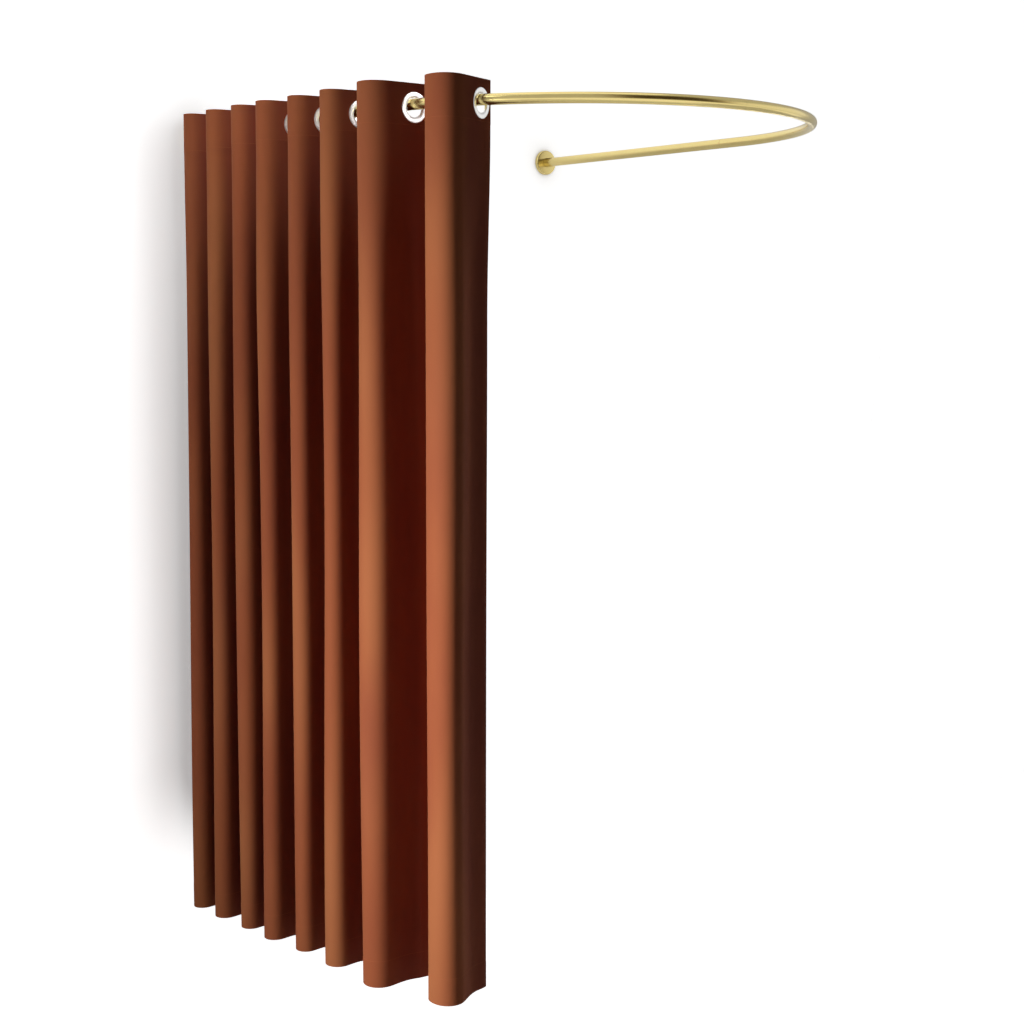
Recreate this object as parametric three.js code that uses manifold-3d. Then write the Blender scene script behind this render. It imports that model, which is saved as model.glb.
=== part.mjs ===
// Wall-fixed fitting room: a U rail of brass-coloured tube between two wall plates, with an eyelet
// curtain drawn back on its left arm. Millimetres, +Z up. The origin is the centre of the right
// plate's back, the wall is the plane y = 0 and the rail stands out from it towards -Y.

import * as THREE from 'three';
import { mergeVertices } from 'three/addons/utils/BufferGeometryUtils.js';
import Module from 'manifold-3d';

const wasm = await Module();
wasm.setup();

// Rail
const RAIL_SPAN = 1150; // between the centre lines of the two arms
const ARM_LENGTH = 785; // from the wall to the start of the bend
const TUBE_DIAMETER = 25;
const TUBE_WALL = 1.5;
const TUBE_LEAD = 60; // straight end of a bend tube, where it joins its arm
const TUBE_SIDES = 16;
const BEND_STEPS = 22;

// Clearances
const FIT_GAP = 0.3; // between pieces that seat on each other
const SLEEVE_GAP = 0.5; // round a sleeve or spigot inside its tube
const HANG_GAP = 1; // above the tube, inside the eyelets that hang on it
const CUT_OVERRUN = 2; // of a cutting tool past the face that it opens
const WELD = 0.0001; // vertices closer than this are one

// Wall plates and their covers
const PLATE_DIAMETER = 66;
const PLATE_THICKNESS = 4;
const SPIGOT_LENGTH = 40; // in front of the plate
const SPIGOT_CHAMFER = 1.5;
const PLATE_HOLE_CIRCLE = 46; // diameter that the three screw holes stand on
const PLATE_HOLE_DIAMETER = 5;
const COUNTERSINK_DIAMETER = 9.6;
const COUNTERSINK_DEPTH = 2.4;
const PLATE_HOLES = 3;
const COVER_DEPTH = 11;
const COVER_WALL = 1.4;
const COVER_SHOULDER = 3; // rounded edge of the cover's face
const DISC_SIDES = 24;

// Sleeves and grub screws
const SLEEVE_LENGTH = 76;
const SLEEVE_WALL = 2;
const SLEEVE_STEPS = 2;
const JOINT_SCREW_DIAMETER = 4;
const JOINT_SCREW_LENGTH = 5;
const JOINT_SCREW_OFFSET = 20; // from the joint to each of its two screws
const PLATE_SCREW_DIAMETER = 5;
const PLATE_SCREW_LENGTH = 8;
const PLATE_SCREW_OFFSET = 22; // from the plate's front to its grub screw
const SCREW_SINK = 0.5; // of a screw's end below the tube's outside
const SCREW_SIDES = 12;
const SOCKET_SIDES = 6;
const SOCKET_SHARE = 0.3; // hex socket's corner radius, of the screw's diameter
const SOCKET_DEPTH_SHARE = 0.4; // of the screw's length

// Curtain
const CURTAIN_RISE = 46; // of its top edge above the rail's centre line
const CURTAIN_DROP = 2010;
const CLOTH_THICKNESS = 1.6;
const HEADER_THICKNESS = 2.4; // doubled cloth along the top
const HEADER_DEPTH = 95;
const HEADER_STEP = 1; // height over which the header thins to the single cloth
const FREE_EDGE = 42; // of cloth past the last eyelet at each end
const FOLD_LEAN = 22; // degrees that the foremost fold's flanks lean away from the wall
const FOLD_WIDTH = 88; // of the widest fold, between its two eyelets
const FOLD_REACH = 117; // of the deepest fold, outward from the rail
const FOLD_SKEW_SHARE = 0.4; // that a round's front handle is longer than their mean
const INNER_REACH = 76; // of the inner folds, inward from the rail
const FOLD_STEPS = 6; // of an outer fold's round
const INNER_STEPS = 4;
const CURVE_RISE_SHARE = 0.75; // of a cubic's parallel handles that its round rises
const FOLD_LEAN_SHARES = [1, 0, -0.27, -0.27, -0.27, -0.27, -0.27, -0.27];
const FOLD_PLACE_SHARES = [1.32, 1.103, 0.884, 0.705, 0.545, 0.401, 0.246, 0.103]; // of the arm's length
const FOLD_WIDTH_SHARES = [1, 1, 0.773, 0.75, 0.727, 0.705, 0.682, 0.614];
const FOLD_REACH_SHARES = [1, 0.913, 0.7, 0.664, 0.728, 0.718, 0.7, 0.684];

// Eyelets
const EYELET_DIAMETER = 67;
const EYELET_BORE = 41;
const EYELET_BARREL_WALL = 1.5;
const EYELET_RIM = 1.8; // thickness of each ring over the header
const EYELET_BEVEL = 3.5;
const EYELET_MARGIN = 2.5; // of straight cloth past an eyelet's edge
const EYELET_SIDES = 18;
const EYELET_HOLE_SIDES = 10;

const BEND_RADIUS = RAIL_SPAN / 2;
const TUBE_RADIUS = TUBE_DIAMETER / 2;
const BORE_RADIUS = TUBE_RADIUS - TUBE_WALL;
const SLEEVE_RADIUS = BORE_RADIUS - SLEEVE_GAP;
const RAIL_LENGTH = 2 * ARM_LENGTH + Math.PI * BEND_RADIUS;
const LEFT_JOINT = ARM_LENGTH - TUBE_LEAD;
const RIGHT_JOINT = RAIL_LENGTH - LEFT_JOINT;
const FRONT_JOINT = RAIL_LENGTH / 2;
const EYELET_RADIUS = EYELET_DIAMETER / 2;
const EYELET_HEIGHT = TUBE_RADIUS + HANG_GAP - EYELET_BORE / 2;
const INNER_FLANK = EYELET_RADIUS + EYELET_MARGIN;

const brass = new THREE.MeshStandardMaterial({ color: 0xc9b072, roughness: 0.28, metalness: 1 });
const steel = new THREE.MeshStandardMaterial({ color: 0xa8abae, roughness: 0.4, metalness: 1 });
const chrome = new THREE.MeshStandardMaterial({ color: 0xe6e8ea, roughness: 0.15, metalness: 1 });
const cloth = new THREE.MeshStandardMaterial({ color: 0x8a4425, roughness: 0.9, metalness: 0 });

const fittingRoom = new THREE.Group();

function addPiece(name, geometry, material) {
  const mesh = new THREE.Mesh(geometry, material);
  mesh.name = name;
  fittingRoom.add(mesh);
  return mesh;
}

// Closed surface of a geometry: shared vertices merged, empty triangles dropped, faces outward
function closed(geometry, matrix) {
  let bare = new THREE.BufferGeometry();
  bare.setAttribute('position', geometry.getAttribute('position').clone());
  if (geometry.index) bare.setIndex(geometry.index.clone());
  if (matrix) bare.applyMatrix4(matrix);
  bare = mergeVertices(bare, WELD);
  const old = bare.index.array;
  const corners = [];
  for (let i = 0; i < old.length; i += 3) {
    const [a, b, c] = [old[i], old[i + 1], old[i + 2]];
    if (a !== b && b !== c && c !== a) corners.push(a, b, c);
  }
  const at = (i) => new THREE.Vector3().fromBufferAttribute(bare.getAttribute('position'), i);
  let volume = 0;
  for (let i = 0; i < corners.length; i += 3) {
    volume += at(corners[i]).dot(at(corners[i + 1]).cross(at(corners[i + 2])));
  }
  if (volume < 0) corners.reverse();
  bare.setIndex(corners);
  return bare;
}

function toSolid(geometry, matrix) {
  const bare = closed(geometry, matrix);
  return new wasm.Manifold(new wasm.Mesh({
    numProp: 3,
    vertProperties: new Float32Array(bare.getAttribute('position').array),
    triVerts: new Uint32Array(bare.index.array),
  }));
}

function toGeometry(solid) {
  const mesh = solid.getMesh();
  const geometry = new THREE.BufferGeometry();
  geometry.setAttribute('position', new THREE.BufferAttribute(mesh.vertProperties, 3));
  geometry.setIndex(new THREE.BufferAttribute(mesh.triVerts, 1));
  return geometry;
}

function cutFrom(geometry, tools) {
  return toGeometry(tools.reduce((solid, tool) => solid.subtract(tool), toSolid(geometry)));
}

// Rod along the local Y axis between two places on it, moved by a matrix
function rod(radius, from, to, sides, matrix, farRadius = radius) {
  const geometry = new THREE.CylinderGeometry(farRadius, radius, to - from, sides);
  geometry.translate(0, (from + to) / 2, 0);
  return toSolid(geometry, matrix);
}

function revolved(points, sides) {
  return new THREE.LatheGeometry(points.map(([r, y]) => new THREE.Vector2(r, y)), sides);
}

// Plan point, outward direction and forward direction at a place along the rail's centre line,
// which is measured from the left wall round to the right wall
function railFrame(place) {
  const past = place - ARM_LENGTH;
  const turn = THREE.MathUtils.clamp(past / BEND_RADIUS, 0, Math.PI);
  const outward = new THREE.Vector2(-Math.cos(turn), -Math.sin(turn));
  const forward = new THREE.Vector2(Math.sin(turn), -Math.cos(turn));
  const point = new THREE.Vector2(-BEND_RADIUS, -ARM_LENGTH)
    .addScaledVector(outward, BEND_RADIUS)
    .addScaledVector(forward, past - turn * BEND_RADIUS);
  return { point, outward, forward };
}

class RailCurve extends THREE.Curve {
  constructor(from, to) {
    super();
    this.from = from;
    this.to = to;
  }

  getPoint(share, target = new THREE.Vector3()) {
    const { point } = railFrame(this.from + (this.to - this.from) * share);
    return target.set(point.x, point.y, 0);
  }
}

function tubeAlong(from, to, steps, outer, inner) {
  const ring = (radius) => Array.from({ length: TUBE_SIDES }, (_, i) => {
    const angle = (2 * Math.PI * i) / TUBE_SIDES;
    return new THREE.Vector2(radius * Math.cos(angle), radius * Math.sin(angle));
  });
  const section = new THREE.Shape(ring(outer));
  section.holes.push(new THREE.Path(ring(inner)));
  const extrudePath = new RailCurve(from, to);
  return new THREE.ExtrudeGeometry(section, { steps, bevelEnabled: false, extrudePath });
}

// Matrix that stands a local Y axis downward, below a place on the rail's centre line
function below(place) {
  const { point } = railFrame(place);
  return new THREE.Matrix4().makeTranslation(point.x, point.y, 0)
    .multiply(new THREE.Matrix4().makeRotationX(-Math.PI / 2));
}

function screwHole(place, diameter, length) {
  const deepest = TUBE_RADIUS - SCREW_SINK - length - FIT_GAP;
  return rod(diameter / 2 + FIT_GAP, deepest, TUBE_RADIUS + CUT_OVERRUN, SCREW_SIDES, below(place));
}

function addGrubScrew(name, place, diameter, length) {
  const head = TUBE_RADIUS - SCREW_SINK;
  const body = rod(diameter / 2, head - length, head, SCREW_SIDES, below(place));
  const socketFloor = head - length * SOCKET_DEPTH_SHARE;
  const socketRadius = diameter * SOCKET_SHARE;
  const socket = rod(socketRadius, socketFloor, head + CUT_OVERRUN, SOCKET_SIDES, below(place));
  addPiece(name, toGeometry(body.subtract(socket)), steel);
}

// Places of the screws along the rail
const plateScrewDepth = PLATE_THICKNESS + PLATE_SCREW_OFFSET;
const plateScrewPlaces = { left: plateScrewDepth, right: RAIL_LENGTH - plateScrewDepth };
const joints = { left: LEFT_JOINT, front: FRONT_JOINT, right: RIGHT_JOINT };

function jointScrewHoles(place) {
  return [-1, 1].map((side) => screwHole(
    place + side * JOINT_SCREW_OFFSET, JOINT_SCREW_DIAMETER, JOINT_SCREW_LENGTH,
  ));
}

// Wall plate: a disc with countersunk holes and a spigot that the arm tube slides over
function addWallPlate(side, x, screwPlace) {
  const toWall = new THREE.Matrix4().makeTranslation(x, 0, 0)
    .multiply(new THREE.Matrix4().makeRotationX(Math.PI));
  const spigotEnd = PLATE_THICKNESS + SPIGOT_LENGTH;
  const plate = revolved([
    [0, 0],
    [PLATE_DIAMETER / 2, 0],
    [PLATE_DIAMETER / 2, PLATE_THICKNESS],
    [SLEEVE_RADIUS, PLATE_THICKNESS],
    [SLEEVE_RADIUS, spigotEnd - SPIGOT_CHAMFER],
    [SLEEVE_RADIUS - SPIGOT_CHAMFER, spigotEnd],
    [0, spigotEnd],
  ], DISC_SIDES);
  const tools = [];
  for (let i = 0; i < PLATE_HOLES; i += 1) {
    const angle = Math.PI / 2 + (2 * Math.PI * i) / PLATE_HOLES;
    const centre = new THREE.Matrix4().makeTranslation(
      (PLATE_HOLE_CIRCLE / 2) * Math.cos(angle), 0, (PLATE_HOLE_CIRCLE / 2) * Math.sin(angle),
    ).premultiply(toWall);
    const front = PLATE_THICKNESS + CUT_OVERRUN;
    tools.push(rod(PLATE_HOLE_DIAMETER / 2, -CUT_OVERRUN, front, SCREW_SIDES, centre));
    tools.push(rod(
      PLATE_HOLE_DIAMETER / 2, PLATE_THICKNESS - COUNTERSINK_DEPTH, PLATE_THICKNESS, SCREW_SIDES, centre,
      COUNTERSINK_DIAMETER / 2,
    ));
  }
  tools.push(screwHole(screwPlace, PLATE_SCREW_DIAMETER, PLATE_SCREW_LENGTH));
  plate.applyMatrix4(toWall);
  addPiece(`${side}_wall_plate`, cutFrom(plate, tools), steel);
  addGrubScrew(`${side}_plate_grub_screw`, screwPlace, PLATE_SCREW_DIAMETER, PLATE_SCREW_LENGTH);
}

// Wall cover: a thin cup over the plate, with the tube through its face
function addWallCover(side, x) {
  const inside = PLATE_DIAMETER / 2 + FIT_GAP;
  const outside = inside + COVER_WALL;
  const hole = (TUBE_RADIUS + FIT_GAP) / Math.cos(Math.PI / DISC_SIDES);
  const cup = revolved([
    [inside, FIT_GAP],
    [inside, COVER_DEPTH - COVER_SHOULDER],
    [inside - COVER_SHOULDER + COVER_WALL, COVER_DEPTH - COVER_WALL],
    [hole, COVER_DEPTH - COVER_WALL],
    [hole, COVER_DEPTH],
    [outside - COVER_SHOULDER, COVER_DEPTH],
    [outside, COVER_DEPTH - COVER_SHOULDER],
    [outside, FIT_GAP],
    [inside, FIT_GAP],
  ], DISC_SIDES);
  const mesh = addPiece(`${side}_wall_cover`, closed(cup), brass);
  mesh.position.set(x, 0, 0);
  mesh.rotation.x = Math.PI;
}

function addRail() {
  const start = PLATE_THICKNESS + FIT_GAP;
  const end = RAIL_LENGTH - start;
  const half = FIT_GAP / 2;
  const leftPlateHole = screwHole(plateScrewPlaces.left, PLATE_SCREW_DIAMETER, PLATE_SCREW_LENGTH);
  const rightPlateHole = screwHole(plateScrewPlaces.right, PLATE_SCREW_DIAMETER, PLATE_SCREW_LENGTH);
  const runs = [
    ['left_arm_tube', start, LEFT_JOINT - half, 1, [leftPlateHole, ...jointScrewHoles(LEFT_JOINT)]],
    ['left_bend_tube', LEFT_JOINT + half, FRONT_JOINT - half, BEND_STEPS,
      [...jointScrewHoles(LEFT_JOINT), ...jointScrewHoles(FRONT_JOINT)]],
    ['right_bend_tube', FRONT_JOINT + half, RIGHT_JOINT - half, BEND_STEPS,
      [...jointScrewHoles(FRONT_JOINT), ...jointScrewHoles(RIGHT_JOINT)]],
    ['right_arm_tube', RIGHT_JOINT + half, end, 1, [rightPlateHole, ...jointScrewHoles(RIGHT_JOINT)]],
  ];
  for (const [name, from, to, steps, tools] of runs) {
    addPiece(name, cutFrom(tubeAlong(from, to, steps, TUBE_RADIUS, BORE_RADIUS), tools), brass);
  }
  for (const [joint, place] of Object.entries(joints)) {
    const from = place - SLEEVE_LENGTH / 2;
    const sleeveBore = SLEEVE_RADIUS - SLEEVE_WALL;
    const sleeve = tubeAlong(from, from + SLEEVE_LENGTH, SLEEVE_STEPS, SLEEVE_RADIUS, sleeveBore);
    addPiece(`${joint}_joint_sleeve`, cutFrom(sleeve, jointScrewHoles(place)), steel);
    [-1, 1].forEach((side, i) => {
      const screwPlace = place + side * JOINT_SCREW_OFFSET;
      addGrubScrew(`${joint}_joint_screw_${i + 1}`, screwPlace, JOINT_SCREW_DIAMETER, JOINT_SCREW_LENGTH);
    });
  }
}

// Plan of one outer fold: two straight flanks that cross the rail, joined by a round outside it
function foldPlan(index) {
  const place = FOLD_PLACE_SHARES[index] * ARM_LENGTH;
  const width = FOLD_WIDTH_SHARES[index] * FOLD_WIDTH;
  const reach = FOLD_REACH_SHARES[index] * FOLD_REACH;
  const lean = THREE.MathUtils.degToRad(FOLD_LEAN_SHARES[index] * FOLD_LEAN);
  const out = new THREE.Vector2(-Math.cos(lean), -Math.sin(lean));
  const flank = Math.max(reach - width / 2, INNER_FLANK);
  const front = railFrame(place + width / 2).point;
  const back = railFrame(place - width / 2).point;
  return { out, front, back, flank, handle: bulge(reach - flank) };
}

// Length of a cubic curve's two handles that makes its round rise by a given height
function bulge(height) {
  return Math.max(height, CLOTH_THICKNESS) / CURVE_RISE_SHARE;
}

// Round whose far handle is longer than the mean and whose near handle is shorter, by a share
function roundBetween(from, fromWay, to, toWay, handleLength, skewShare, steps) {
  const curve = new THREE.CubicBezierCurve(
    from,
    from.clone().addScaledVector(fromWay, handleLength * (1 - skewShare)),
    to.clone().addScaledVector(toWay, handleLength * (1 + skewShare)),
    to,
  );
  return curve.getPoints(steps);
}

// Closed strip of hanging cloth: a plan path given a thickness at each of several heights. Its two
// end faces stand square to the directions given for them.
function clothStrip(path, startWay, endWay, levels) {
  const sides = path.map((point, i) => {
    const before = i > 0 ? point.clone().sub(path[i - 1]).normalize() : startWay;
    const after = i < path.length - 1 ? path[i + 1].clone().sub(point).normalize() : endWay;
    const between = before.clone().add(after).normalize();
    const isEnd = i === 0 || i === path.length - 1;
    const along = isEnd ? [startWay, endWay][Math.sign(i)] : between;
    const mitre = isEnd ? 1 : 1 / between.dot(after);
    return new THREE.Vector2(-along.y, along.x).multiplyScalar(mitre);
  });
  const positions = [];
  for (const { z, thickness } of levels) {
    path.forEach((point, i) => {
      const left = point.clone().addScaledVector(sides[i], thickness / 2);
      const right = point.clone().addScaledVector(sides[i], -thickness / 2);
      positions.push(left.x, left.y, z, right.x, right.y, z);
    });
  }
  const at = (level, i, side) => 2 * (level * path.length + i) + side;
  const index = [];
  const quad = (a, b, c, d) => index.push(a, b, c, a, c, d);
  const last = path.length - 1;
  const lowest = levels.length - 1;
  for (let level = 0; level < lowest; level += 1) {
    for (let i = 0; i < last; i += 1) {
      quad(at(level, i, 0), at(level, i + 1, 0), at(level + 1, i + 1, 0), at(level + 1, i, 0));
      quad(at(level, i + 1, 1), at(level, i, 1), at(level + 1, i, 1), at(level + 1, i + 1, 1));
    }
    quad(at(level, 0, 1), at(level, 0, 0), at(level + 1, 0, 0), at(level + 1, 0, 1));
    quad(at(level, last, 0), at(level, last, 1), at(level + 1, last, 1), at(level + 1, last, 0));
  }
  for (let i = 0; i < last; i += 1) {
    quad(at(0, i, 1), at(0, i + 1, 1), at(0, i + 1, 0), at(0, i, 0));
    quad(at(lowest, i, 0), at(lowest, i + 1, 0), at(lowest, i + 1, 1), at(lowest, i, 1));
  }
  const geometry = new THREE.BufferGeometry();
  geometry.setAttribute('position', new THREE.Float32BufferAttribute(positions, 3));
  geometry.setIndex(index);
  return geometry;
}

const clothLevels = [
  { z: CURTAIN_RISE, thickness: HEADER_THICKNESS },
  { z: CURTAIN_RISE - HEADER_DEPTH, thickness: HEADER_THICKNESS },
  { z: CURTAIN_RISE - HEADER_DEPTH - HEADER_STEP, thickness: CLOTH_THICKNESS },
  { z: CURTAIN_RISE - CURTAIN_DROP, thickness: CLOTH_THICKNESS },
];

// Angle about Z that turns a local Y axis square to a flank
const acrossFlank = (out) => Math.atan2(out.y, out.x);

// Section of an eyelet: two rings that grip the header, joined by the barrel through it
function eyeletSection() {
  const groove = HEADER_THICKNESS / 2 + FIT_GAP;
  const bore = EYELET_BORE / 2;
  const front = [
    [bore + EYELET_BARREL_WALL, groove],
    [EYELET_RADIUS, groove],
    [EYELET_RADIUS - EYELET_BEVEL, groove + EYELET_RIM],
    [bore, groove + EYELET_RIM / 2],
  ];
  const back = front.map(([r, y]) => [r, -y]).reverse();
  return [...front, ...back, front[0]];
}

const eyeletShape = closed(revolved(eyeletSection(), EYELET_SIDES));

function addEyelet(number, crossing, out) {
  const mesh = addPiece(`eyelet_${number}`, eyeletShape, chrome);
  mesh.position.set(crossing.x, crossing.y, EYELET_HEIGHT);
  mesh.rotation.z = acrossFlank(out);
}

function addCurtain() {
  const plans = FOLD_PLACE_SHARES.map((_, index) => foldPlan(index));
  const barrelRadius = EYELET_BORE / 2 + EYELET_BARREL_WALL;
  const holeRadius = (barrelRadius + FIT_GAP) / Math.cos(Math.PI / EYELET_HOLE_SIDES);
  plans.forEach(({ out, front, back, flank, handle }, index) => {
    const number = index + 1;
    const frontEnd = index === 0 ? FREE_EDGE : INNER_FLANK;
    const backEnd = index === plans.length - 1 ? FREE_EDGE : INNER_FLANK;
    const path = [
      back.clone().addScaledVector(out, -backEnd),
      ...roundBetween(
        back.clone().addScaledVector(out, flank), out, front.clone().addScaledVector(out, flank), out,
        handle, FOLD_SKEW_SHARE, FOLD_STEPS,
      ),
      front.clone().addScaledVector(out, -frontEnd),
    ];
    const holes = [front, back].map((crossing) => rod(
      holeRadius, -CUT_OVERRUN - HEADER_THICKNESS, CUT_OVERRUN + HEADER_THICKNESS, EYELET_HOLE_SIDES,
      new THREE.Matrix4().makeTranslation(crossing.x, crossing.y, EYELET_HEIGHT)
        .multiply(new THREE.Matrix4().makeRotationZ(acrossFlank(out))),
    ));
    const strip = clothStrip(path, out, out.clone().negate(), clothLevels);
    addPiece(`curtain_fold_${number}`, cutFrom(strip, holes), cloth);
    addEyelet(2 * number - 1, front, out);
    addEyelet(2 * number, back, out);
  });
  for (let index = 0; index < plans.length - 1; index += 1) {
    const near = plans[index];
    const far = plans[index + 1];
    const start = near.back.clone().addScaledVector(near.out, -INNER_FLANK - FIT_GAP);
    const finish = far.front.clone().addScaledVector(far.out, -INNER_FLANK - FIT_GAP);
    const inward = near.out.clone().negate();
    const handle = bulge(INNER_REACH - INNER_FLANK - FIT_GAP);
    const path = roundBetween(start, inward, finish, far.out.clone().negate(), handle, 0, INNER_STEPS);
    const strip = clothStrip(path, inward, far.out, clothLevels);
    addPiece(`curtain_inner_fold_${index + 1}`, closed(strip), cloth);
  }
}

addWallPlate('right', 0, plateScrewPlaces.right);
addWallPlate('left', -RAIL_SPAN, plateScrewPlaces.left);
addWallCover('right', 0);
addWallCover('left', -RAIL_SPAN);
addRail();
addCurtain();

export default fittingRoom;
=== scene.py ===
"""Wall-fixed fitting room: a brass U rail between two wall roses, with a rust-brown eyelet curtain
drawn back on its left arm. Metres, +Z up, origin at the centre of the right wall plate's back. The
wall is the plane y = 0 and the rail stands out from it towards -Y."""

import math

import bpy
import numpy as np
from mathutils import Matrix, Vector


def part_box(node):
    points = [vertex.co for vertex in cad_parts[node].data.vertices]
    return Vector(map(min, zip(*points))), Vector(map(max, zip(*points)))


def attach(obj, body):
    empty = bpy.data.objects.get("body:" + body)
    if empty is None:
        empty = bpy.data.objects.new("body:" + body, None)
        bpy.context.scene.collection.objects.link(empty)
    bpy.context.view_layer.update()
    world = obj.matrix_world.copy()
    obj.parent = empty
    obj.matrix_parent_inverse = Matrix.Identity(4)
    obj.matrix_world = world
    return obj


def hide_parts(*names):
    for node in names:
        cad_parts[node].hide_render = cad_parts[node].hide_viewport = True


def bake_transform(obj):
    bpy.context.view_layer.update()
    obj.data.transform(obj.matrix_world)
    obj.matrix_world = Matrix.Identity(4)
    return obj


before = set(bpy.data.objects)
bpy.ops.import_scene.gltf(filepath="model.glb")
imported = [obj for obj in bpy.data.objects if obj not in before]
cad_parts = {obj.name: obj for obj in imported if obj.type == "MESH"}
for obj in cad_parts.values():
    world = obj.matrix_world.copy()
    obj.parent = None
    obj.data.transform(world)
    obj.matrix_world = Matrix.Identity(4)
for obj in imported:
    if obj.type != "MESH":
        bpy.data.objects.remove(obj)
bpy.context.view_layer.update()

bl_info = {
    "name": "Eyelet Curtain Fitting Room",
    "version": (1, 0, 0),
    "blender": (4, 5, 0),
    "location": "View3D > Sidebar > Fitting Room",
    "description": "Builds a wall-fixed U rail with an eyelet curtain drawn back on one arm",
    "category": "Add Mesh",
}

LEFT_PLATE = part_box("left_wall_plate")
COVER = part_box("right_wall_cover")
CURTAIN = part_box("curtain_fold_8")
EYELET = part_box("eyelet_8")
FOLD_COUNT = 8
FINE_GAP = 0.0003  # left where one piece meets another

# Sides of the round pieces, and steps of a rose's rounded edge
TUBE_SIDES = 64
ROSE_SIDES = 96
EYELET_SIDES = 72
HOLE_SIDES = 32
ROSE_EDGE_STEPS = 7

# Spacing of the mesh along a straight arm and round the bend
ARM_STEP = 0.020
BEND_STEP = 0.008

# Angles between neighbouring faces, in degrees, below which a piece is shaded smooth
SMOOTH_BELOW = 35.0
DRILLED_SMOOTH_BELOW = 30.0
CLOTH_SMOOTH_BELOW = 50.0


def length(name, description, default):
    """Length property in metres with its default and a floor of zero."""
    return bpy.props.FloatProperty(
        name=name, description=description, default=default, min=0.0, precision=4, unit="LENGTH")


def colour(name, description, default):
    """Colour property, linear red, green and blue."""
    return bpy.props.FloatVectorProperty(
        name=name, description=description, default=default, size=3, min=0.0, max=1.0,
        subtype="COLOR")


class FittingRoomRail(bpy.types.PropertyGroup):
    """Sizes of the rail and of its wall roses."""

    span: length("Span", "Between the centre lines of the two arms",
                 -(LEFT_PLATE[0].x + LEFT_PLATE[1].x) / 2)
    arm: length("Arm length", "From the wall to the start of the bend", 0.785)
    tube_diameter: length("Tube diameter", "Outside of the brass tube", 0.025)
    tube_wall: length("Tube wall", "Wall thickness of the brass tube", 0.0015)
    tube_lead: length("Bend lead", "Straight end of a bend tube, where it meets its arm", 0.060)
    tube_edge: length("Tube edge", "Broken edge at a tube's end", 0.0003)
    joint_gap: length("Joint gap", "Fine line where two tubes meet", FINE_GAP)
    plate_thickness: length("Plate thickness", "Of the steel wall plate behind the rose", 0.004)
    rose_diameter: length("Rose diameter", "Outside of the wall rose", COVER[1].x - COVER[0].x)
    rose_depth: length("Rose depth", "From the wall to the rose's face",
                       COVER[1].y - COVER[0].y + FINE_GAP)
    rose_wall: length("Rose wall", "Thickness of the rose's sheet", 0.0014)
    rose_edge: length("Rose edge", "Radius of the rose's rounded edge", 0.0032)
    screw_diameter: length("Joint screw", "Diameter of a grub screw at a tube joint", 0.004)
    plate_screw_diameter: length("Plate screw", "Diameter of a grub screw at a wall plate", 0.005)
    screw_offset: length("Joint screw offset", "From a joint to each of its screws", 0.020)
    plate_screw_offset: length("Plate screw offset", "From the plate's front to its screw", 0.022)
    screw_play: length("Screw play", "Between a screw and its hole", 0.0003)


class FittingRoomCurtain(bpy.types.PropertyGroup):
    """Sizes of the curtain and of its folds."""

    rise: length("Rise", "Of the top edge above the rail's centre line", CURTAIN[1].z)
    drop: length("Drop", "Height of the curtain", CURTAIN[1].z - CURTAIN[0].z)
    thickness: length("Cloth thickness", "Of the single cloth", 0.0016)
    header_thickness: length("Header thickness", "Of the doubled cloth along the top", 0.0024)
    header_depth: length("Header depth", "Of the doubled cloth along the top", 0.095)
    hem_depth: length("Hem depth", "Of the turned hem along the bottom", 0.060)
    side_hem: length("Side hem", "Width of the turned hem along each free edge", 0.022)
    hem_step: length("Hem step", "Height over which a hem thins to the single cloth", 0.0015)
    hem_extra: length("Hem extra", "Thickness that a hem adds", 0.0006)
    free_edge: length("Free edge", "Cloth past the last eyelet at each end", 0.042)
    fold_width: length("Fold width", "Of the widest fold, between its two eyelets", 0.088)
    fold_reach: length("Fold reach", "Of the deepest fold, outward from the rail", 0.117)
    inner_reach: length("Inner reach", "Of the inner folds, inward from the rail", 0.076)
    inner_flank: length("Inner flank", "Flat cloth inward of an eyelet's centre", 0.036)
    pinch: length("Pinch", "How far each side of a fold's neck draws in below the header", 0.015)
    ripple: length("Ripple", "Slow wander of the folds down the drop", 0.0032)
    settle: length("Settle", "Height over which the folds round out below the header", 0.42)
    spacing: length("Spacing", "Of the mesh along the cloth", 0.0036)
    rows_header: length("Header rows", "Spacing of the mesh up the header", 0.0042)
    rows_drop: length("Drop rows", "Spacing of the mesh up the rest of the drop", 0.013)


class FittingRoomEyelets(bpy.types.PropertyGroup):
    """Sizes of the metal eyelets."""

    diameter: length("Diameter", "Outside of an eyelet's ring", EYELET[1].z - EYELET[0].z)
    bore: length("Bore", "Hole that the rail passes through", 0.041)
    half_depth: length("Half depth", "From the cloth's middle to the crown of a ring", 0.0034)
    barrel_wall: length("Barrel wall", "Of the barrel through the cloth", 0.0015)
    groove: length("Groove", "Half the room that the two rings leave for the header", 0.0014)
    hang: length("Hang", "Between the tube's top and the eyelet's bore", 0.001)
    cloth_hole: length("Cloth hole", "Radius of the hole cut in the header", 0.0265)


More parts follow.
